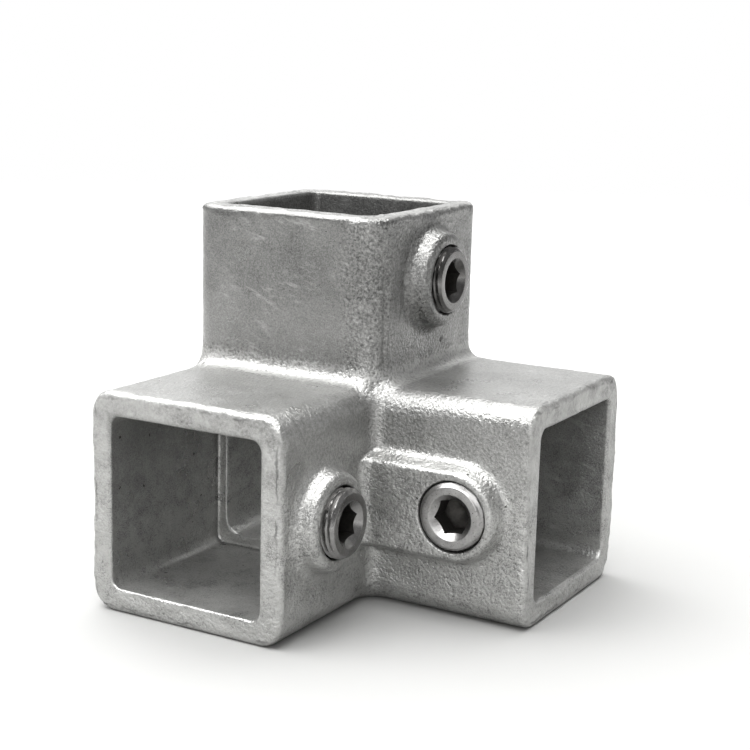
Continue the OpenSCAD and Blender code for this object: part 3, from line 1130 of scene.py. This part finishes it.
    def specks(self, tree: bpy.types.NodeTree, place: Any) -> bpy.types.Node:
        """Adds the mask of the sparse dark specks, one in a few of the cells that they are sorted into.

        Args:
            tree: The material's tree.
            place: Output with coordinates in metres.

        Returns:
            The mask.
        """
        cells = {"Vector": place, "Scale": per(self.speck_cell_mm)}
        cell = add_node(tree, "ShaderNodeTexVoronoi", cells).outputs
        pick = add_node(tree, "ShaderNodeSeparateColor", (cell["Color"],)).outputs
        ragged = add_node(tree, NOISE, self.speck_edge.over(place), **SEEDED)
        ragged = add_node(tree, MATH, (ragged, *self.speck_shift), operation="MULTIPLY_ADD")
        away = add_node(tree, MATH, (cell["Distance"], ragged), operation="ADD")
        size = add_node(tree, RANGE, self.speck_size.of(pick[1]))
        near = add_node(tree, MATH, (away, size), operation="LESS_THAN")
        few = add_node(tree, MATH, (pick[0], self.speck_rarity), operation="GREATER_THAN")
        return add_node(tree, MATH, (near, few), operation="MULTIPLY")


class Where(Enum):
    """The part of the skin that a wave moves."""

    ALL = "all"
    WRINKLED = "wrinkled"
    RIMS = "rims"


class Wave(NamedTuple):
    """A wave of the skin: its name, how far it goes to each side, its pattern and its part."""

    name: str
    depth_mm: float
    pattern: Pattern
    where: Where


@dataclass
class CastingSkin:
    """The casting's skin: the CAD shape, made as uneven as sand and zinc leave it."""

    node: str = "corner_casting"
    weld_mm: float = 0.002
    voxel_mm: float = 0.42
    triangles: int = 186000
    waves: tuple[Wave, ...] = (
        Wave("Swell", 0.18, Pattern(26.0, 1.0, 1.0), Where.ALL),
        Wave("Ripple", 0.16, Pattern(4.6, 4.0, 1.0), Where.WRINKLED),
        Wave("Peel", 0.07, Pattern(1.5, 6.0, 1.0, 0.8), Where.WRINKLED),
        Wave("Rim wear", 0.34, Pattern(2.2, 8.0, 3.0), Where.RIMS),
        Wave("Rim wander", 0.6, Pattern(7.0, 15.0, 1.0), Where.RIMS),
    )
    rim_depth: Step = Step(2.4, 1.4)
    seam_mm: float = 0.55
    pit_mm: float = 0.6
    gap_mm: float = 0.26
    fillet_mm: float = 0.4
    fillet_swell: Pattern = Pattern(9.0, 43.0, 1.0)
    fillet_share: Step = Step(0.3, 0.65, 0.2, 1.0)
    screw_keep: Step = Step(9.0, 10.5)
    floor_keep: Step = Step(0.2, 3.5)
    regions: Regions = field(default_factory=Regions)
    finish: GalvanisedCasting = field(default_factory=GalvanisedCasting)

    def build(self, screws: list[SetScrew]) -> bpy.types.Object:
        """Makes the skin.

        Args:
            screws: The set screws, whose holes stay true.

        Returns:
            The finished piece.
        """
        material = self.finish.build(screws)
        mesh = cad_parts[self.node].data.copy()
        mesh.materials.clear()
        mesh.materials.append(material)
        piece = add_piece("galvanised_corner_casting", mesh)
        piece.modifiers.new("weld", "WELD").merge_threshold = self.weld_mm * MM
        remesh = piece.modifiers.new("skin", "REMESH")
        remesh.mode = "VOXEL"
        remesh.voxel_size = self.voxel_mm * MM
        self.relief(screws, material).put_on(piece)
        settle(piece)
        self.thin(piece)
        piece.data.shade_smooth()
        return piece

    def relief(self, screws: list[SetScrew], material: bpy.types.Material) -> TreeMaker:
        """Makes the tree that moves the skin in and out.

        Args:
            screws: The set screws, whose holes stay true but for their mouths.
            material: The casting's finish.

        Returns:
            The tree.
        """
        sizes_mm = {wave.name: wave.depth_mm for wave in self.waves}
        sizes_mm |= {"Seam": self.seam_mm, "Pit": self.pit_mm, "Gap": self.gap_mm, "Fillet": self.fillet_mm}
        maker = TreeMaker("cast_relief", sizes_mm)
        tree, given = maker.tree, maker.given
        place = add_node(tree, "GeometryNodeInputPosition").outputs[0]
        total = self.height(tree, given, place)
        for screw in screws:
            radius = from_axis(tree, place, screw.centre, screw.axis)
            keep = add_node(tree, RANGE, self.screw_keep.of(radius, MM), **SMOOTH)
            total = add_node(tree, MATH, (total, keep), operation="MULTIPLY")
        z = add_node(tree, SPLIT, (place,)).outputs["Z"]
        above = add_node(tree, RANGE, self.floor_keep.of(z, MM), **SMOOTH)
        total = add_node(tree, MATH, (total, above), operation="MULTIPLY")
        normal = add_node(tree, "GeometryNodeInputNormal")
        shift = add_node(tree, VECTOR, {0: normal, "Scale": total}, operation="SCALE")
        moved = add_node(tree, MOVE, {"Geometry": given["Geometry"], "Offset": shift})
        for screw in screws:
            gap = self.regions.screw_gaps(tree, place, [screw])
            wide = add_node(tree, MATH, (gap, given["Gap"]), operation="MULTIPLY")
            out = square_to(tree, place, screw.centre, screw.axis)
            out = add_node(tree, VECTOR, (out,), operation="NORMALIZE")
            shift = add_node(tree, VECTOR, {0: out, "Scale": wide}, operation="SCALE")
            moved = add_node(tree, MOVE, {"Geometry": moved, "Offset": shift})
        maker.close(moved, ((material, True),))
        return maker

    def height(self, tree: bpy.types.NodeTree, given: bpy.types.NodeOutputs, place: Any) -> bpy.types.Node:
        """Adds how far the skin moves out: the waves and the full fillets, less the seam and the pits.

        Args:
            tree: The relief's tree.
            given: The tree's named inputs.
            place: Output with coordinates in metres.

        Returns:
            The height in metres.
        """
        seam = self.regions.seam_line(tree, place)
        pits = self.regions.sand_pits(tree, place)
        total: Any = add_node(tree, MATH, (seam, given["Seam"]), operation="MULTIPLY")
        total = add_node(tree, MATH, (pits, given["Pit"], total), operation="MULTIPLY_ADD")
        total = add_node(tree, MATH, (0.0, total), operation="SUBTRACT")
        full = add_node(tree, NOISE, self.fillet_swell.over(place), **SEEDED)
        full = add_node(tree, RANGE, self.fillet_share.of(full))
        full = add_node(tree, MATH, (full, self.regions.full_fillets(tree, place)), operation="MULTIPLY")
        total = add_node(tree, MATH, (full, given["Fillet"], total), operation="MULTIPLY_ADD")
        masks = {
            Where.ALL: 1.0,
            Where.WRINKLED: self.regions.coarse(tree, place),
            Where.RIMS: self.regions.mouths(tree, place, self.rim_depth),
        }
        for wave in self.waves:
            pattern = add_node(tree, NOISE, wave.pattern.over(place), **SEEDED)
            swing = add_node(tree, MATH, (pattern, 2.0, -1.0), operation="MULTIPLY_ADD")
            swing = add_node(tree, MATH, (swing, given[wave.name]), operation="MULTIPLY")
            total = add_node(tree, MATH, (swing, masks[wave.where], total), operation="MULTIPLY_ADD")
        return total

    def thin(self, piece: bpy.types.Object) -> None:
        """Brings the skin down to its number of triangles.

        Args:
            piece: The skin.
        """
        decimate = piece.modifiers.new("thin", "DECIMATE")
        decimate.ratio = min(1.0, self.triangles / count_triangles(piece))
        settle(piece)

    def attach(self, piece: bpy.types.Object) -> None:
        """Puts the skin on the frame in place of the CAD casting.

        Args:
            piece: The finished skin.
        """
        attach(piece, BODY)
        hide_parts(self.node)


@dataclass(frozen=True)
class PaleFloor:
    """Matt studio floor, grey near the object and painted whiter further out where the lamps light it less,
    that fades away far from the object.
    """

    near: str = "#949493"
    far_painted_lighter: str = "#dededd"
    painted_light_m: Step = Step(0.15, 0.5)
    clearer_m: Step = Step(1.1, 0.45)
    roughness: float = 0.9

    def build(self) -> bpy.types.Material:
        """Makes the material.

        Returns:
            The material.
        """
        # Matt white gives the eye a soft shadow and no reflection, and the fade leaves no horizon. The whiter
        # colour further out is painted light that evens the floor's brightness.
        material, tree = new_tree("pale_floor")
        place = add_node(tree, COORDINATES).outputs["Object"]
        away = add_node(tree, VECTOR, (place,), operation="LENGTH").outputs["Value"]
        alpha = add_node(tree, RANGE, self.clearer_m.of(away), **SMOOTH)
        share = add_node(tree, RANGE, self.painted_light_m.of(away), **SMOOTH)
        colours = {0: share, 6: linear(self.near), 7: linear(self.far_painted_lighter)}
        colour = add_node(tree, MIX, colours, data_type="RGBA").outputs[2]
        inputs = {"Base Color": colour, "Roughness": self.roughness, "Alpha": alpha}
        add_node(tree, SURFACE, (add_node(tree, PRINCIPLED, inputs),))
        return material


@dataclass(frozen=True)
class Softbox:
    """A square studio lamp, aimed at the middle of the object."""

    name: str
    toward: tuple[float, float, float]
    distance_m: float
    size_m: float
    watts: float

    def build(self, target: Vector) -> None:
        """Makes the lamp.

        Args:
            target: The point that it faces.
        """
        lamp = bpy.data.lights.new(self.name, "AREA")
        lamp.shape = "SQUARE"
        lamp.size = self.size_m
        lamp.energy = self.watts
        way = Vector(self.toward).normalized()
        holder = bpy.data.objects.new(self.name, lamp)
        holder.location = target + way * self.distance_m
        holder.rotation_mode = "QUATERNION"
        holder.rotation_quaternion = (-way).to_track_quat("-Z", "Y")
        bpy.context.scene.collection.objects.link(holder)


@dataclass
class Studio:
    """The pale floor, the soft light and the camera at the photograph's angle."""

    azimuth_deg: float = 29.664
    elevation_deg: float = 12.022
    roll_deg: float = 1.486
    eye_mm: tuple[float, float, float] = (212.69, -353.32, 137.13)
    focal_px: float = 1601.34
    photo_px: float = 750.0
    sensor_mm: float = 36.0
    clip_m: float = 0.01
    sky: str = "#ffffff"
    horizon: Step = Step(0.035, 0.19, 1.0, 0.3)
    ceiling: Step = Step(0.55, 0.95, 0.0, 0.2)
    floor_r_m: float = 1.2
    floor_sides: int = 64
    boxes: tuple[Softbox, ...] = (
        Softbox("top_softbox", (-0.26, -0.04, 0.95), 0.95, 1.5, 53.0),
        Softbox("back_softbox", (-0.42, 0.85, 0.42), 1.5, 1.1, 3.2),
        Softbox("front_softbox", (0.42, -0.8, 0.5), 1.3, 0.9, 7.0),
    )

    def build(self) -> None:
        """Makes the floor, the light and the camera."""
        self.make_floor()
        self.make_sky()
        low, high = CAD_BOX
        for box in self.boxes:
            box.build((low + high) / 2)
        self.make_camera()
        bpy.context.scene.view_settings.view_transform = "Standard"

    def make_floor(self) -> None:
        """Makes the round floor under the object."""
        turns = [2 * math.pi * k / self.floor_sides for k in range(self.floor_sides)]
        rim = [(self.floor_r_m * math.cos(turn), self.floor_r_m * math.sin(turn), 0) for turn in turns]
        mesh = bpy.data.meshes.new("floor_mesh")
        mesh.from_pydata(rim, [], [tuple(range(self.floor_sides))])
        mesh.materials.append(PaleFloor().build())
        floor = add_piece("floor", mesh)
        floor.location.z = CAD_BOX[0].z

    def make_sky(self) -> None:
        """Makes the light from all round: pale at the horizon, dimmer between there and the ceiling."""
        world = bpy.data.worlds.new("pale_studio")
        world.use_nodes = True
        tree = world.node_tree
        tree.nodes.clear()
        way = add_node(tree, COORDINATES).outputs["Generated"]
        rise = add_node(tree, SPLIT, (way,)).outputs["Z"]
        wall = add_node(tree, RANGE, self.horizon.of(rise), **SMOOTH)
        top = add_node(tree, RANGE, self.ceiling.of(rise), **SMOOTH)
        level = add_node(tree, MATH, (wall, top), operation="ADD")
        back = add_node(tree, "ShaderNodeBackground", {"Color": linear(self.sky), "Strength": level})
        add_node(tree, "ShaderNodeOutputWorld", (back,))
        bpy.context.scene.world = world

    def make_camera(self) -> None:
        """Makes the camera."""
        az, el, roll = (math.radians(v) for v in (self.azimuth_deg, self.elevation_deg, self.roll_deg))
        back = Vector((math.sin(az) * math.cos(el), -math.cos(az) * math.cos(el), math.sin(el)))
        level = Vector((math.cos(az), math.sin(az), 0))
        down = (-back).cross(level)
        right = level * math.cos(roll) - down * math.sin(roll)
        up = -(level * math.sin(roll) + down * math.cos(roll))
        lens = bpy.data.cameras.new("camera")
        lens.sensor_width = self.sensor_mm
        lens.lens = self.sensor_mm * self.focal_px / self.photo_px
        lens.clip_start = self.clip_m
        camera = bpy.data.objects.new("camera", lens)
        turn = Matrix((right, up, back)).transposed().to_4x4()
        camera.matrix_world = Matrix.Translation(Vector(self.eye_mm) * MM) @ turn
        bpy.context.scene.collection.objects.link(camera)
        bpy.context.scene.camera = camera


def report(piece: bpy.types.Object) -> None:
    """Logs a piece's name and its number of triangles."""
    log.info("%s: %d triangles", piece.name, count_triangles(piece))


def main() -> None:
    """Builds the screws, the casting and the studio in order."""
    logging.basicConfig(level=logging.INFO, format="%(name)s: %(message)s", stream=sys.stdout)
    screws = [
        # The upright's and the left arm's screws are tinted darker than the right arm's, as painted shade of
        # the darker surroundings that their faces reflect.
        SetScrew("upright_set_screw", Facing.RIGHT, -16, TurnedSteel("#494847", "#737271", 0.13)),
        SetScrew("left_set_screw", Facing.RIGHT, -13, TurnedSteel("#6a6968", "#9c9b9a", 0.16)),
        SetScrew("right_set_screw", Facing.FRONT, 9, TurnedSteel("#7d7c7b", "#b0afae", 0.22)),
    ]
    for screw in screws:
        piece = screw.build()
        screw.attach(piece)
        report(piece)
    casting = CastingSkin()
    piece = casting.build(screws)
    casting.attach(piece)
    report(piece)
    Studio().build()


if __name__ == "__main__":
    main()
